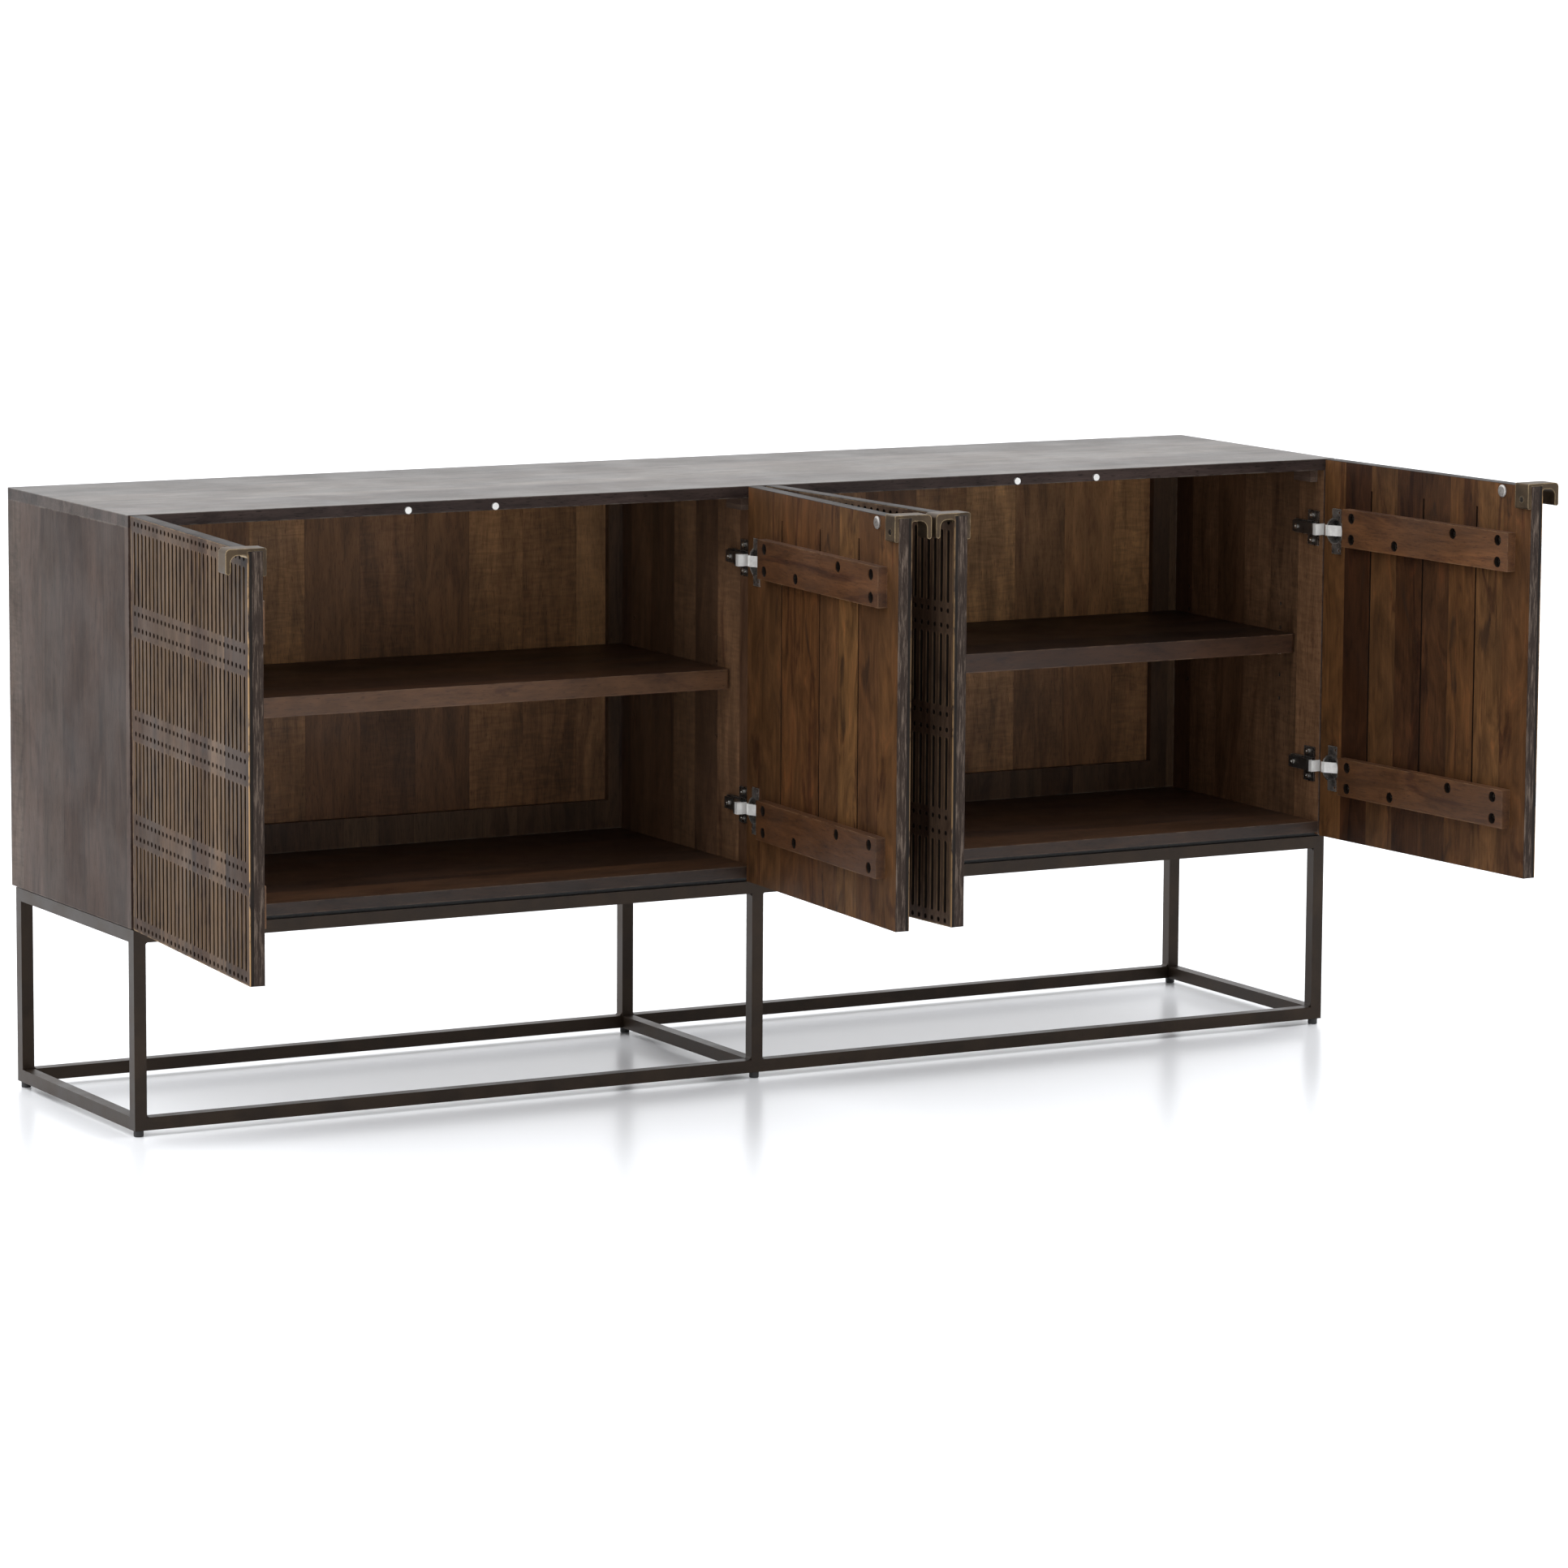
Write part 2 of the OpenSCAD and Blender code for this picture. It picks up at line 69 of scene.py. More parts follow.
# wider than any batten, so that a batten is one board
UNDIVIDED = 0.6

# Stains, linear RGB. Each stave takes its own place along the list.
TOP = [(0.046, 0.037, 0.032), (0.072, 0.060, 0.053), (0.057, 0.048, 0.041), (0.084, 0.070, 0.061)]
TOP_EDGE = [(0.024, 0.017, 0.015), (0.050, 0.037, 0.031)]
OUTER = [(0.023, 0.015, 0.013), (0.062, 0.044, 0.035), (0.038, 0.027, 0.022), (0.076, 0.054, 0.043),
         (0.028, 0.018, 0.016)]
SIDE_INNER = [(0.052, 0.027, 0.015), (0.135, 0.070, 0.036), (0.080, 0.042, 0.023), (0.160, 0.087, 0.045)]
BOARD = [(0.020, 0.009, 0.004), (0.052, 0.022, 0.010), (0.030, 0.013, 0.006), (0.060, 0.027, 0.012)]
SHELF_EDGE = [(0.044, 0.020, 0.009), (0.086, 0.040, 0.018), (0.060, 0.028, 0.013)]
# the back boards' inner face: much lighter than the other stains, partly stain and partly painted light for
# the dim light inside the bays
BACK_INNER_STAIN_AND_LIGHT = [(0.105, 0.048, 0.020), (0.340, 0.170, 0.068), (0.175, 0.084, 0.036), (0.400, 0.212, 0.090),
              (0.130, 0.061, 0.027)]
BACK_OUTER = [(0.034, 0.020, 0.013), (0.066, 0.041, 0.027), (0.046, 0.028, 0.019), (0.076, 0.048, 0.032)]
BACK_FRAME = [(0.062, 0.034, 0.018), (0.110, 0.062, 0.032), (0.085, 0.048, 0.025)]
CLEAT = [(0.10, 0.068, 0.050), (0.13, 0.090, 0.068)]
BATTEN = [(0.060, 0.026, 0.010), (0.102, 0.045, 0.016), (0.073, 0.031, 0.011), (0.122, 0.055, 0.020)]
CARVED = [(0.026, 0.014, 0.009), (0.074, 0.046, 0.029), (0.044, 0.027, 0.018), (0.088, 0.056, 0.035),
          (0.033, 0.019, 0.013)]
DOOR_INNER = [(0.036, 0.015, 0.006), (0.110, 0.052, 0.018), (0.060, 0.026, 0.010), (0.135, 0.066, 0.023),
              (0.048, 0.020, 0.009)]
CUT_DARK = (0.010, 0.006, 0.004)
GROOVE_DARK = (0.008, 0.006, 0.005)
OCHRE = (0.36, 0.22, 0.10)


# ---------------------------------------------------------------- camera
def set_camera():
    forward = Vector((math.sin(CAMERA_YAW) * math.cos(CAMERA_PITCH),
                      math.cos(CAMERA_YAW) * math.cos(CAMERA_PITCH),
                      math.sin(CAMERA_PITCH)))
    level = Vector((math.cos(CAMERA_YAW), -math.sin(CAMERA_YAW), 0.0))
    upright = level.cross(forward)
    right = math.cos(CAMERA_ROLL) * level + math.sin(CAMERA_ROLL) * upright
    up = -math.sin(CAMERA_ROLL) * level + math.cos(CAMERA_ROLL) * upright
    camera = bpy.data.objects.new("camera", bpy.data.cameras.new("camera"))
    scene.collection.objects.link(camera)
    placing = Matrix((right, up, -forward)).transposed().to_4x4()
    placing.translation = Vector(CAMERA_AT)
    camera.matrix_world = placing
    camera.data.sensor_width = SENSOR_MM
    camera.data.lens = LENS_MM
    camera.data.clip_end = CAMERA_REACH
    scene.camera = camera


# ---------------------------------------------------------------- shader nodes
class Mat:
    """A material's node tree, with short calls for the nodes used here."""

    SOCKETS = {"color": "Base Color", "rough": "Roughness", "metal": "Metallic", "spec": "Specular IOR Level",
               "normal": "Normal"}

    def __init__(self, name):
        self.m = bpy.data.materials.new(name)
        self.m.use_nodes = True
        self.t = self.m.node_tree
        self.t.nodes.clear()
        out = self.t.nodes.new("ShaderNodeOutputMaterial")
        self.b = self.t.nodes.new("ShaderNodeBsdfPrincipled")
        self.t.links.new(self.b.outputs[0], out.inputs[0])
        self.co = self.t.nodes.new("ShaderNodeTexCoord").outputs["Object"]

    def put(self, socket, value):
        if isinstance(value, bpy.types.NodeSocket):
            self.t.links.new(value, socket)
        else:
            socket.default_value = value

    def math(self, op, a, b=0.0):
        n = self.t.nodes.new("ShaderNodeMath")
        n.operation = op
        self.put(n.inputs[0], a)
        self.put(n.inputs[1], b)
        return n.outputs[0]

    def add(self, a, b):
        return self.math("ADD", a, b)

    def sub(self, a, b):
        return self.math("SUBTRACT", a, b)

    def mul(self, a, *more):
        for b in more:
            a = self.math("MULTIPLY", a, b)
        return a

    def least(self, a, b):
        return self.math("MINIMUM", a, b)

    def away(self, value, centre):
        """Distance of a value from a centre."""
        return self.math("ABSOLUTE", self.sub(value, centre))

    def stave(self, value):
        """Whole number of the stave that a value falls in."""
        return self.math("FLOOR", value)

    def seam(self, value):
        """Distance to the nearest stave joint, as a share of a stave."""
        part = self.math("FRACT", value)
        return self.least(part, self.sub(1.0, part))

    def mapping(self, location, rotation):
        n = self.t.nodes.new("ShaderNodeMapping")
        self.put(n.inputs["Vector"], self.co)
        n.inputs["Location"].default_value = location
        n.inputs["Rotation"].default_value = rotation
        return n.outputs[0]

    def split(self, vec):
        n = self.t.nodes.new("ShaderNodeSeparateXYZ")
        self.put(n.inputs[0], vec)
        return n.outputs

    def join(self, x, y, z):
        n = self.t.nodes.new("ShaderNodeCombineXYZ")
        for i, v in enumerate((x, y, z)):
            self.put(n.inputs[i], v)
        return n.outputs[0]

    def noise(self, vec, scale=1.0, detail=3.0, rough=0.55, dist=0.0):
        n = self.t.nodes.new("ShaderNodeTexNoise")
        self.put(n.inputs["Vector"], vec)
        n.inputs["Scale"].default_value = scale
        n.inputs["Detail"].default_value = detail
        n.inputs["Roughness"].default_value = rough
        n.inputs["Distortion"].default_value = dist
        return n.outputs[0]

    def rand(self, value):
        n = self.t.nodes.new("ShaderNodeTexWhiteNoise")
        n.noise_dimensions = "1D"
        self.put(n.inputs["W"], value)
        return n.outputs[0]

    def ramp(self, fac, stops):
        n = self.t.nodes.new("ShaderNodeValToRGB")
        self.put(n.inputs[0], fac)
        e = n.color_ramp.elements
        while len(e) < len(stops):
            e.new(0.5)
        for s, (p, c) in zip(e, stops):
            s.position = p
            s.color = (*c, 1.0) if isinstance(c, tuple) else (c, c, c, 1.0)
        return n.outputs[0]

    def palette(self, fac, colours):
        last = len(colours) - 1
        return self.ramp(fac, [(i / last, c) for i, c in enumerate(colours)])

    def mix(self, fac, a, b, mode="MIX"):
        n = self.t.nodes.new("ShaderNodeMix")
        n.data_type = "RGBA"
        n.blend_type = mode
        self.put(n.inputs[0], fac)
        self.put(n.inputs[6], a if isinstance(a, bpy.types.NodeSocket) else (*a, 1.0))
        self.put(n.inputs[7], b if isinstance(b, bpy.types.NodeSocket) else (*b, 1.0))
        return n.outputs[2]

    def tint(self, fac, base, colour):
        """Multiplies the base by a colour as far as fac says."""
        return self.mix(fac, base, colour, "MULTIPLY")

    def shade(self, base, fac, stops):
        """Multiplies the base by a ramp."""
        return self.tint(1.0, base, self.ramp(fac, stops))

    def smooth(self, v, lo, hi, a=0.0, b=1.0):
        n = self.t.nodes.new("ShaderNodeMapRange")
        n.interpolation_type = "SMOOTHSTEP"
        self.put(n.inputs[0], v)
        for i, x in enumerate((lo, hi, a, b)):
            n.inputs[i + 1].default_value = x
        return n.outputs[0]

    def bump(self, height, strength, dist):
        n = self.t.nodes.new("ShaderNodeBump")
        self.put(n.inputs["Height"], height)
        n.inputs["Strength"].default_value = strength
        n.inputs["Distance"].default_value = dist
        return n.outputs[0]

    def set(self, **values):
        for key, v in values.items():
            self.put(self.b.inputs[self.SOCKETS[key]], v)
        return self.m


def depth_in(m, s, box):
    """Distances inward from a box's faces, one for each axis."""
    lo, hi = box
    return [m.sub((hi[i] - lo[i]) / 2, m.away(s[i], (lo[i] + hi[i]) / 2)) for i in range(3)]


def edge_mask(m, s, box, radius, noise):
    """White along the arrises of a box, broken up by a noise value."""
    a, b, c = depth_in(m, s, box)
    small = m.least(a, b)
    big = m.math("MAXIMUM", a, b)
    middle = m.math("MAXIMUM", small, m.least(big, c))
    return m.mul(m.smooth(middle, 0.0, radius, 1.0, 0.0), m.smooth(noise, 0.38, 0.62))


# ---------------------------------------------------------------- wood and metal
def wood(name, stain, grain, across, stave, door_map=None, box=None, seed=0.0, rough=(0.40, 0.54), spec=0.4,
         wear=(0.20, 0.16, 0.12), wear_radius=0.0018, wear_amount=0.6, figure=0.35, curl=0.0, heart=0.7,
         pores=0.6, relief=0.30, painted_shade_low=None, inner=None, front=None, layers=None, bores=False):
    """Stained wood in staves, in the part's frame or a door's own.

    grain and across are axis numbers. fade is (low z, high z, tint), a painted shade that darkens the wood
    below low z, inner is (axis, from, to, stain) for a face of another stain, front is (from y, to y, tint),
    and spec may be (axis, from, to, value, value).
    layers adds a panel's own marks, and bores darkens everything below the box's surface.
    """
    m = Mat(name)
    vec = m.mapping(*door_map) if door_map else m.co
    s = m.split(vec)
    third = 3 - grain - across
    at = m.math("DIVIDE", m.add(s[across], 0.913 + seed), stave)
    number = m.stave(at)
    tone = m.rand(m.add(number, 3.1 + seed * 7))
    warmth = m.rand(m.add(number, 17.7 + seed * 5))
    offset = m.mul(tone, 7.0)

    def grained(along, side):
        p = [None, None, None]
        p[grain] = m.add(m.mul(s[grain], along), offset)
        p[across] = m.mul(s[across], side)
        p[third] = m.mul(s[third], side * 0.6)
        return m.join(*p)

    # figure, fine fibres, pores and slow clouds, all stretched along the grain
    fig = m.noise(grained(6.5, 46.0), 1.0, 6.0, 0.68, 1.2)
    fine = m.noise(grained(30.0, 560.0), 1.0, 2.0, 0.6, 0.2)
    pore = m.noise(grained(85.0, 1000.0), 1.0, 1.0, 0.5)
    cloud = m.noise(grained(3.2, 13.0), 1.0, 4.0, 0.62, 1.0)
    pick = m.add(m.mul(tone, 0.9), m.mul(cloud, 0.15))
    base = m.palette(pick, stain)
    # painted shade: the tint in full below the lower height, none above the higher one
    if painted_shade_low:
        base = m.tint(m.smooth(s[2], painted_shade_low[0], painted_shade_low[1], 1.0, 0.0), base, painted_shade_low[2])
    if inner:
        base = m.mix(m.smooth(s[inner[0]], inner[1], inner[2]), base, m.palette(pick, inner[3]))
    base = m.shade(base, fig, [(0.28, 1 - figure), (0.5, 1.0), (0.72, 1 + figure * 0.8)])
    base = m.shade(base, cloud, [(0.3, 0.66), (0.5, 0.96), (0.7, 1.26)])
    base = m.shade(base, fine, [(0.3, 0.88), (0.7, 1.12)])
    base = m.shade(base, warmth, [(0.0, (0.68, 0.60, 0.57)), (0.45, (0.96, 0.93, 0.92)),
                                  (1.0, (1.26, 1.28, 1.26))])
    if curl:
        wave = m.noise(grained(120.0, 22.0), 1.0, 2.0, 0.5, 1.5)
        ripple = m.ramp(wave, [(0.35, 0.7), (0.65, 1.35)])
        base = m.tint(m.smooth(warmth, 0.45, 0.75, 0.0, curl), base, ripple)
    streak = m.noise(grained(3.2, 19.0), 1.0, 5.0, 0.66, 1.8)
    base = m.tint(m.smooth(streak, 0.53, 0.68, 0.0, heart), base, (0.38, 0.29, 0.31))
    base = m.tint(m.smooth(pore, 0.30, 0.40, pores, 0.0), base, (0.32, 0.29, 0.27))
    # thin dark line between staves
    base = m.tint(m.smooth(m.seam(at), 0.0, 0.010, 0.55, 0.0), base, (0.4, 0.38, 0.36))
    if front:
        base = m.tint(m.smooth(s[1], front[0], front[1]), base, front[2])
    scuff = m.noise(vec, 55.0, 5.0, 0.7)
    if box:
        base = m.mix(m.mul(edge_mask(m, s, box, wear_radius, scuff), wear_amount), base, wear)
    if layers:
        base = layers(m, s, base)
    if bores:
        a, b, c = depth_in(m, s, box)
        base = m.mix(m.smooth(m.least(m.least(a, b), c), 0.0008, 0.0016), base, CUT_DARK)
    blotch = m.noise(vec, 9.0, 3.0, 0.6)
    if isinstance(spec, tuple):
        spec = m.smooth(s[spec[0]], *spec[1:])
    height = m.add(m.mul(fine, 0.5), m.mul(pore, 0.8))
    return m.set(color=base, spec=spec, normal=m.bump(height, relief, 0.0003),
                 rough=m.add(m.smooth(blotch, 0.3, 0.7, *rough), m.mul(fine, 0.08)))


def metal(name, light, dark, rough, scale, metallic=1.0, bump=0.15):
    """Plain or painted metal, a little mottled."""
    m = Mat(name)
    mottle = m.noise(m.co, scale, 4.0, 0.6)
    grit = m.noise(m.co, scale * 7, 3.0, 0.6)
    return m.set(color=m.mix(m.smooth(mottle, 0.35, 0.65), dark, light), metal=metallic,
                 rough=m.smooth(mottle, 0.3, 0.7, *rough), normal=m.bump(grit, bump, 0.0004))


def wear_metal(name, light, dark, rub_and_glint, rough, scale, radius=0.0022, metallic=0.85):
    """Metal whose arrises have another colour, found by comparing a rounded normal with the true one."""
    m = Mat(name)
    rounded = m.t.nodes.new("ShaderNodeBevel")
    rounded.samples = 4
    rounded.inputs["Radius"].default_value = radius
    true = m.t.nodes.new("ShaderNodeNewGeometry")
    likeness = m.t.nodes.new("ShaderNodeVectorMath")
    likeness.operation = "DOT_PRODUCT"
    m.put(likeness.inputs[0], rounded.outputs[0])
    m.put(likeness.inputs[1], true.outputs["Normal"])
    mottle = m.noise(m.co, scale, 4.0, 0.65)
    grit = m.noise(m.co, scale * 4, 3.0, 0.6)
    edge = m.mul(m.smooth(likeness.outputs["Value"], 0.80, 0.985, 1.0, 0.0), m.smooth(mottle, 0.32, 0.6))
    base = m.mix(edge, m.mix(m.smooth(mottle, 0.35, 0.65), dark, light), rub_and_glint)
    return m.set(color=base, metal=metallic, rough=m.smooth(mottle, 0.3, 0.7, *rough),
                 normal=m.bump(grit, 0.3, 0.0005))


# ---------------------------------------------------------------- pieces
def paint(node, material):
    o = nodes[node]
    if not o.material_slots:
        o.data.materials.append(material)
    for slot in o.material_slots:
        slot.material = material


def bevel(node, width, segments=2):
    b = nodes[node].modifiers.new("soft_edges", "BEVEL")
    b.width = width
    b.segments = segments
    b.limit_method = "ANGLE"
    b.angle_limit = math.radians(35)
    b.harden_normals = False


def front_edge(tint):
    """The case's front plane, as wood() takes it."""
    front_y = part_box("top_panel")[0][1]
    return (front_y + 0.0008, front_y + 0.0002, tint)


def outer_case_materials():
    edge = front_edge((0.78, 0.72, 0.74))
    top_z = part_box("top_panel")[1][2]
    paint("top_panel", wood("top_wood", TOP, 0, 1, TOP_STAVE, box=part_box("top_panel"), rough=(0.32, 0.42),
                            figure=0.5, wear=(0.13, 0.11, 0.09), wear_amount=0.5, front=edge, relief=0.9,
                            pores=0.85, spec=(2, top_z - 0.0012, top_z - 0.0004, 0.10, 0.43),
                            inner=(2, top_z - 0.0004, top_z - 0.0012, TOP_EDGE)))
    for n, outward, seed in (("side_left", -1.0, 0.011), ("side_right", 1.0, 0.029)):
        lo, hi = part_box(n)
        inner_x = hi[0] if outward < 0 else lo[0]
        paint(n, wood(n + "_wood", OUTER, 2, 1, SIDE_STAVE, box=(lo, hi), seed=seed, spec=0.10, front=edge,
                      wear=(0.16, 0.13, 0.11), wear_amount=0.45, curl=0.4, figure=0.4, heart=0.5,
                      inner=(0, inner_x + outward * 0.0006, inner_x + outward * 0.0001, SIDE_INNER)))


def inner_case_materials():
    edge = front_edge((0.34, 0.34, 0.36))
    paint("bottom_panel", wood("bottom_wood", BOARD, 0, 1, BOTTOM_STAVE, box=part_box("bottom_panel"),
                               figure=0.4, front=edge, wear=(0.12, 0.08, 0.055), wear_amount=0.4))
    paint("centre_divider", wood("divider_wood", SIDE_INNER, 2, 1, DIVIDER_STAVE,
                                 box=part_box("centre_divider"), seed=0.02, front=edge, curl=0.4))
    paint("back_frame", wood("frame_wood", BACK_FRAME, 2, 0, FRAME_STAVE, box=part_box("back_frame"),
                             figure=0.4))
    paint("corner_cleats", wood("cleat_wood", CLEAT, 1, 2, FRAME_STAVE, box=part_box("corner_cleats")))
    for bay, back_seed, shelf_seed in (("left", 0.017, 0.0), ("right", 0.05, 0.031)):
        shelf, back = "shelf_" + bay, "back_" + bay
        lo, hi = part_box(shelf)
        rear_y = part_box(back)[1][1]
        paint(back, wood(back + "_wood", BACK_INNER_STAIN_AND_LIGHT, 2, 0, BACK_STAVE, box=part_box(back), seed=back_seed,
                         figure=0.5, curl=0.5, heart=0.4, wear=(0.10, 0.07, 0.05),
                         # darker below the shelf: painted shade, tinted to 0.70 there
                         painted_shade_low=(lo[2] - 0.05, lo[2] + 0.02, (0.70, 0.68, 0.70)),
                         inner=(1, rear_y - 0.0008, rear_y - 0.0003, BACK_OUTER)))
        paint(shelf, wood(shelf + "_wood", SHELF_EDGE, 0, 1, SHELF_STAVE, box=(lo, hi), seed=shelf_seed,
                          figure=0.4, wear=(0.15, 0.085, 0.050), wear_amount=0.6,
                          inner=(2, hi[2] - 0.0008, hi[2] - 0.0002, BOARD)))


def soften_case():
    for n in ("top_panel", "side_left", "side_right", "bottom_panel", "corner_cleats"):
        bevel(n, 0.0008)
    for n in ("shelf_left", "shelf_right"):
        bevel(n, 0.0015)
    bevel("centre_divider", 0.0006)
    bevel("back_frame", 0.0005)


def base_materials():
    gunmetal = metal("gunmetal", (0.032, 0.020, 0.012), (0.021, 0.013, 0.008), (0.38, 0.48), 18.0,
                     metallic=0.6)
    for n in ("base_legs", "base_long_rails", "base_cross_rails"):
        paint(n, gunmetal)
        bevel(n, 0.0014, 3)
    paint("base_fillets", gunmetal)
    rubber = Mat("glide_rubber")
    grit = rubber.noise(rubber.co, 400.0, 3.0)
    rubber.set(color=rubber.mix(grit, (0.010, 0.010, 0.010), (0.025, 0.024, 0.023)),
               rough=rubber.smooth(grit, 0.3, 0.7, 0.5, 0.7), normal=rubber.bump(grit, 0.2, 0.0003))
    paint("glides", rubber.m)
    paint("base_spacers", rubber.m)
    bevel("glides", 0.0006)


def hinge_arm_material():
    """One piece in two tones by position: painted shade where it runs along the case, and a near-white
    painted highlight at the nose, which stands forward of the case's front plane.
    """
    m = Mat("hinge_arm")
    front_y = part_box("top_panel")[0][1]
    behind = m.smooth(m.split(m.co)[1], front_y + 0.0030, front_y + 0.0045)
    mottle = m.noise(m.co, 140.0, 3.0)
    # near-white at the nose as a painted highlight, dark along the case as painted shade
    bright = m.mix(mottle, (0.92, 0.91, 0.88), (0.84, 0.83, 0.80))
    dark = m.mix(mottle, (0.10, 0.095, 0.09), (0.20, 0.19, 0.18))
    return m.set(color=m.mix(behind, bright, dark), metal=m.smooth(behind, 0.0, 1.0, 0.45, 0.95),
                 rough=m.smooth(mottle, 0.3, 0.7, 0.30, 0.42), normal=m.bump(mottle, 0.08, 0.0003))


def fitting_materials():
    bright = metal("bright_nickel", (0.80, 0.79, 0.76), (0.62, 0.61, 0.58), (0.22, 0.34), 160.0, bump=0.08)
    # the hinge links are nickel whose brightness is partly a painted highlight: near-white and only part
    # metallic
    link = metal("link_nickel_and_highlight", (0.92, 0.91, 0.88), (0.80, 0.79, 0.76), (0.34, 0.46), 160.0, metallic=0.45,
                 bump=0.08)
    dull = metal("dull_nickel", (0.42, 0.40, 0.38), (0.30, 0.28, 0.26), (0.30, 0.42), 160.0, metallic=0.7,
                 bump=0.08)
    zinc = metal("dark_zinc", (0.070, 0.058, 0.048), (0.025, 0.021, 0.018), (0.35, 0.5), 200.0)
    magnet = wear_metal("magnet_nickel", (0.82, 0.81, 0.78), (0.74, 0.73, 0.70), (0.05, 0.045, 0.04),
                        (0.28, 0.36), 20.0, radius=0.0010)
    # the near-white arrises of the hinge plates and cups are painted highlights on their rims
    plate = wear_metal("dark_nickel", (0.16, 0.15, 0.14), (0.07, 0.065, 0.06), (0.80, 0.78, 0.74),
                       (0.25, 0.38), 90.0, radius=0.0010)
    cup = wear_metal("cup_nickel", (0.34, 0.32, 0.30), (0.15, 0.14, 0.13), (0.92, 0.90, 0.86),
                     (0.25, 0.36), 90.0, radius=0.0013)
    cast = wear_metal("antique_cast", (0.078, 0.052, 0.029), (0.048, 0.032, 0.019), (0.46, 0.34, 0.19),
                      (0.46, 0.60), 35.0, metallic=0.7)
    recessed = wear_metal("recessed_screw", (0.040, 0.032, 0.025), (0.015, 0.012, 0.010), (0.22, 0.19, 0.15),
                          (0.35, 0.5), 90.0)
    on_case = {"shelf_pins": bright, "hinge_plate_screws": bright, "cabinet_magnets": magnet,
               "hinge_plates": plate, "hinge_arms": hinge_arm_material(), "base_studs": zinc}
    on_door = {"strike": dull, "hinge_links": link, "hinge_cups": cup, "batten_screws": recessed,
               "handle": cast, "handle_screw": recessed}
    for n, material in on_case.items():
        paint(n, material)
    for k in range(1, 5):
        for part, material in on_door.items():
            paint("door_%d_%s" % (k, part), material)
        bevel("door_%d_handle" % k, 0.0012, 3)
        bevel("door_%d_hinge_links" % k, 0.0004)
    bevel("hinge_arms", 0.0005)
    bevel("hinge_plates", 0.0005)


# ---------------------------------------------------------------- doors
def door_frame(k):
    """Location and rotation that carry rest coordinates into door k's own frame, and the sign of its x."""
    hinge = joints["door_%d_hinge" % k]
    swing = 1 if k in (1, 3) else -1
    angle = math.radians(-hinge["range_deg"][0]) * swing
    location = -(Matrix.Rotation(angle, 3, "Z") @ Vector(hinge["pos_m"]))
    # the hinge line is half a thickness in from the hinge edge and the inner face
    location += Vector((DOOR_T / 2 * swing, -DOOR_T / 2, 0.0))
    location.z = 0.0
    return (tuple(location), (0.0, 0.0, angle)), swing


def add_inner_face(m, s, x, base, seed):
    """Warm stain on the inner side, in staves that meet at the kerfs."""
    at = m.math("DIVIDE", m.sub(x, -0.010), INNER_STAVE)
    number = m.stave(at)
    tone = m.rand(m.add(number, 5.5 + seed * 11))
    warmth = m.rand(m.add(number, 41.3 + seed * 13))
    height = s[2]
    fig = m.noise(m.join(m.mul(x, 32.0), m.mul(s[1], 30.0), m.add(m.mul(height, 8.0), m.mul(tone, 9.0))),
                  1.0, 6.0, 0.66, 1.6)
    fine = m.noise(m.join(m.mul(x, 800.0), 0.0, m.mul(height, 16.0)), 1.0, 2.0)
    knot = m.noise(m.join(m.mul(x, 16.0), 0.0, m.mul(height, 5.0)), 1.0, 3.0, 0.6, 2.0)
    heart = m.noise(m.join(m.mul(x, 24.0), 0.0, m.add(m.mul(height, 3.5), m.mul(tone, 5.0))),
                    1.0, 5.0, 0.66, 1.8)
    warm = m.palette(tone, DOOR_INNER)
    warm = m.shade(warm, warmth, [(0.0, (0.66, 0.56, 0.54)), (0.5, (1.0, 0.98, 0.97)),
                                  (1.0, (1.22, 1.25, 1.24))])
    warm = m.shade(warm, fig, [(0.28, 0.50), (0.5, 1.0), (0.72, 1.5)])
    warm = m.shade(warm, fine, [(0.3, 0.80), (0.7, 1.20)])
    warm = m.mix(m.smooth(knot, 0.60, 0.72, 0.0, 0.75), warm, (0.022, 0.011, 0.006))
    warm = m.shade(warm, knot, [(0.3, 1.25), (0.55, 0.92)])
    warm = m.tint(m.smooth(heart, 0.52, 0.66, 0.0, 0.8), warm, (0.40, 0.34, 0.40))
    warm = m.tint(m.smooth(fig, 0.55, 0.75, 0.0, 0.5), warm, (1.30, 0.95, 0.80))
    warm = m.mix(m.smooth(m.seam(at), 0.0, 0.014, 0.5, 0.0), warm, (0.018, 0.010, 0.006))
    return m.mix(m.smooth(s[1], -0.0012, -0.0004), base, warm)


def add_edges(m, s, x, base, top_z, rub_and_gap_shade):
    """Dark free edge with pale scuffs, an ochre rub along its outer arris, and a dark top edge."""
    speck = m.noise(m.join(m.mul(s[0], 300.0), m.mul(s[1], 330.0), m.mul(s[2], 26.0)), 1.0, 5.0, 0.75)
    worn = m.mix(m.smooth(speck, 0.46, 0.68), (0.026, 0.017, 0.013), (0.130, 0.096, 0.074))
    base = m.mix(m.smooth(x, DOOR_W - 0.0008, DOOR_W - 0.0003), base, worn)
    rub = m.noise(m.join(0.0, m.mul(s[1], 200.0), m.mul(s[2], 30.0)), 1.0, 4.0, 0.7)
    arris = m.mul(m.smooth(s[1], -DOOR_T + 0.0026, -DOOR_T + 0.0012),
                  m.smooth(x, DOOR_W - 0.0026, DOOR_W - 0.0014))
    # on doors 2 and 3 this ochre rub is halved, as painted shade
    base = m.mix(m.mul(arris, m.smooth(rub, 0.40, 0.54, 0.0, rub_and_gap_shade)), base, OCHRE)
    dusty = m.mix(speck, (0.020, 0.017, 0.016), (0.050, 0.042, 0.038))
    return m.mix(m.smooth(s[2], top_z - 0.0009, top_z - 0.0003), base, dusty)


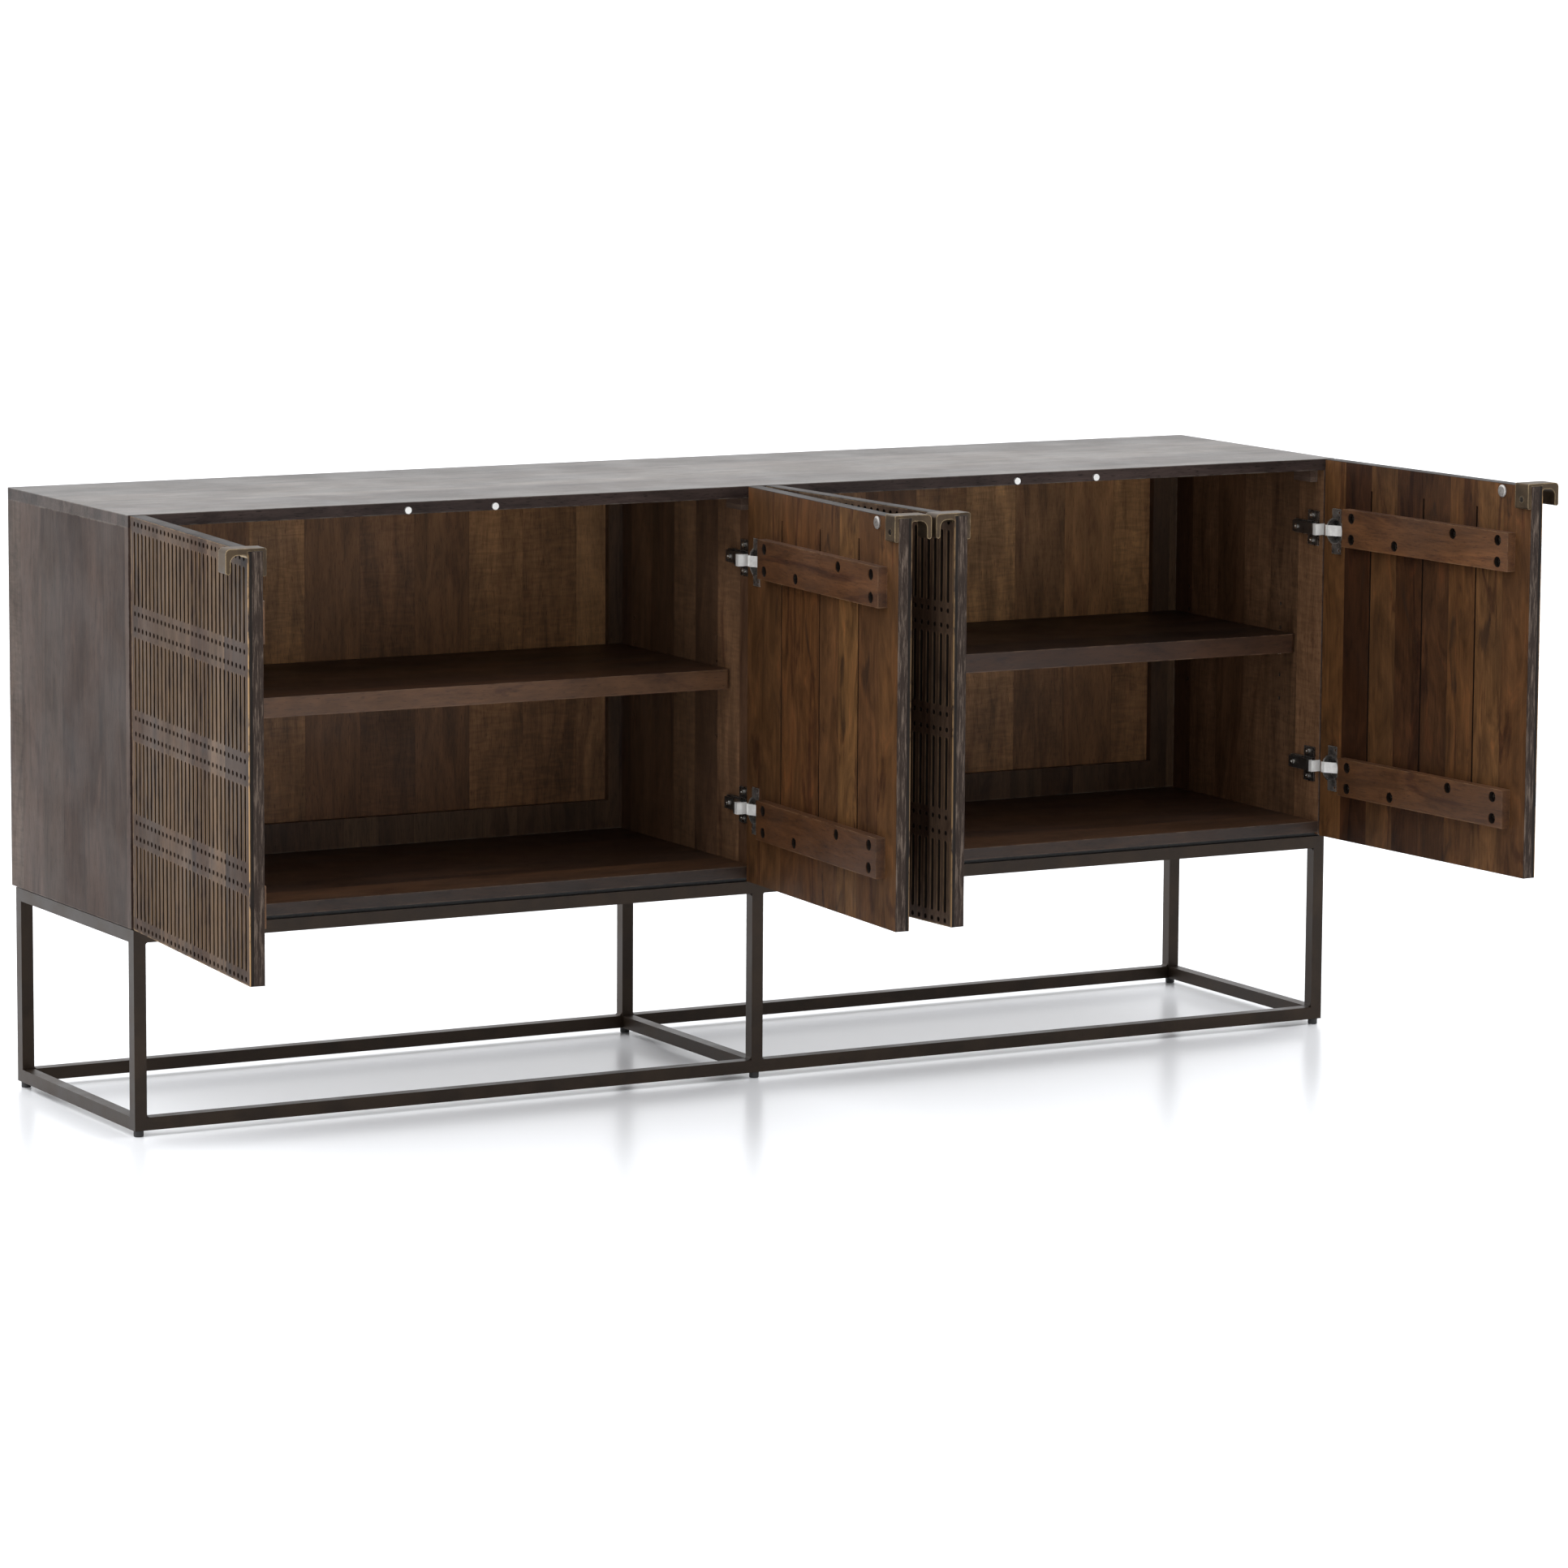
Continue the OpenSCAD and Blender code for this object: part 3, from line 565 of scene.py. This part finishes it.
def add_kerfs(m, s, x, base):
    """Near-black colour inside the saw kerfs."""
    deep = m.mul(m.smooth(s[1], -0.0002, -0.0006), m.smooth(s[1], -0.0060, -0.0050))
    for kerf in KERFS:
        cut = m.mul(m.smooth(m.away(x, kerf), 0.0022, 0.0017), deep)
        base = m.mix(m.mul(cut, 0.9), base, CUT_DARK)
    return base


def add_carving(m, s, x, base, top_z, rub_and_gap_shade):
    """Darkened grooves and rubbed arrises on the outer face."""
    first = (DOOR_W - (COLUMNS - 1) * PITCH) / 2
    column = m.math("DIVIDE", m.sub(x, first - PITCH / 2), PITCH)
    off = m.mul(m.away(m.math("FRACT", column), 0.5), PITCH)
    half = GROOVE_W / 2
    # the long grooves' part of each row
    z = m.math("MODULO", m.sub(top_z + ROW_LEAD, s[2]), ROW_H)
    band = m.mul(m.smooth(z, 0.0165, 0.0195), m.smooth(z, 0.1085, 0.1055))
    rim = m.mul(m.smooth(off, half - 0.0004, half), m.smooth(off, half + 0.0006, half + 0.0020, 1.0, 0.0))
    face = m.smooth(s[1], -DOOR_T + 0.0003, -DOOR_T + 0.0012, 1.0, 0.0)
    streak = m.noise(m.join(m.mul(s[0], 260.0), 0.0, m.mul(s[2], 22.0)), 1.0, 3.0, 0.6)
    rub_and_glint = m.mul(rim, band, face, m.smooth(streak, 0.34, 0.60))
    # the rim colour is halved on doors 2 and 3, as painted shade
    base = m.mix(m.mul(rub_and_glint, 0.8 * rub_and_gap_shade), base, (0.210, 0.127, 0.063))
    cut = m.mul(m.smooth(s[1], -DOOR_T + 0.0003, -DOOR_T + 0.0012),
                m.smooth(s[1], -DOOR_T + 0.0055, -DOOR_T + 0.0045),
                m.smooth(off, half + 0.0006, half + 0.0002))
    return m.mix(m.mul(cut, 0.93), base, GROOVE_DARK)


def door_panel_wood(name, door_map, swing, box, seed, rub_and_gap_shade):
    top_z = box[1][2]

    def layers(m, s, base):
        x = m.mul(s[0], float(swing))
        base = add_inner_face(m, s, x, base, seed)
        base = add_edges(m, s, x, base, top_z, rub_and_gap_shade)
        base = add_kerfs(m, s, x, base)
        return add_carving(m, s, x, base, top_z, rub_and_gap_shade)

    return wood(name, CARVED, 2, 0, DOOR_STAVE, door_map=door_map, box=box, seed=seed, layers=layers,
                wear=(0.30, 0.20, 0.11), wear_amount=0.85, wear_radius=0.0022, figure=0.5, rough=(0.46, 0.62),
                spec=0.12)


def span(swing, near, far):
    """Low and high x of a stretch measured from the hinge edge."""
    return sorted((swing * near, swing * far))


def door_materials():
    for k in range(1, 5):
        door_map, swing = door_frame(k)
        lo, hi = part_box("door_%d_panel" % k)
        x0, x1 = span(swing, 0.0, DOOR_W)
        # doors 2 and 3 get half the rub on their carving rims and free-edge arris: painted shade for the dark
        # gap they face when open
        paint("door_%d_panel" % k, door_panel_wood("door_%d_wood" % k, door_map, swing,
                                                   ((x0, -DOOR_T, lo[2]), (x1, 0.0, hi[2])),
                                                   0.013 * k, 1.0 if k in (1, 4) else 0.5))
        x0, x1 = span(swing, *BATTEN_X)
        for part, up in BATTEN_Z.items():
            z = lo[2] + up
            n = "door_%d_%s_batten" % (k, part)
            box = ((x0, 0.0, z - BATTEN_HALF_H), (x1, BATTEN_T, z + BATTEN_HALF_H))
            paint(n, wood(n + "_wood", BATTEN, 0, 2, UNDIVIDED, door_map=door_map, box=box, figure=0.45,
                          seed=0.07 * k, wear=(0.16, 0.090, 0.045), wear_amount=0.6, wear_radius=0.0016,
                          bores=True))
            bevel(n, 0.001)


# ---------------------------------------------------------------- stage
def lay_floor():
    bpy.ops.mesh.primitive_plane_add(size=FLOOR_SIDE, location=(0, 0, 0))
    floor = bpy.context.object
    floor.name = "floor"
    white = Mat("floor_white")
    white.set(color=(*FLOOR_COLOUR, 1.0), rough=0.22, spec=0.4)
    floor.data.materials.append(white.m)


def light_sky():
    """A soft sky: bright overhead, left and behind, dimmer in front."""
    world = bpy.data.worlds.new("world")
    scene.world = world
    world.use_nodes = True
    tree = world.node_tree
    sky = tree.nodes["Background"]
    ray = tree.nodes.new("ShaderNodeSeparateXYZ")
    tree.links.new(tree.nodes.new("ShaderNodeTexCoord").outputs["Generated"], ray.inputs[0])

    def weight(axis, *limits):
        n = tree.nodes.new("ShaderNodeMapRange")
        n.interpolation_type = "SMOOTHSTEP"
        tree.links.new(ray.outputs[axis], n.inputs[0])
        for i, v in enumerate(limits):
            n.inputs[i + 1].default_value = v
        return n.outputs[0]

    def total(a, b):
        n = tree.nodes.new("ShaderNodeMath")
        n.operation = "ADD"
        tree.links.new(a, n.inputs[0])
        tree.links.new(b, n.inputs[1])
        return n.outputs[0]

    depth = weight(1, -0.9, 0.3, SKY_FRONT, SKY_BACK)
    left = weight(0, -0.1, -0.9, 0.0, SKY_LEFT)
    top = weight(2, 0.35, 0.95, 0.0, SKY_TOP)
    tree.links.new(total(total(depth, left), top), sky.inputs[1])
    sky.inputs[0].default_value = SKY_COLOUR


set_camera()
outer_case_materials()
inner_case_materials()
soften_case()
base_materials()
fitting_materials()
door_materials()
lay_floor()
light_sky()
scene.view_settings.view_transform = "Standard"
scene.view_settings.look = "None"
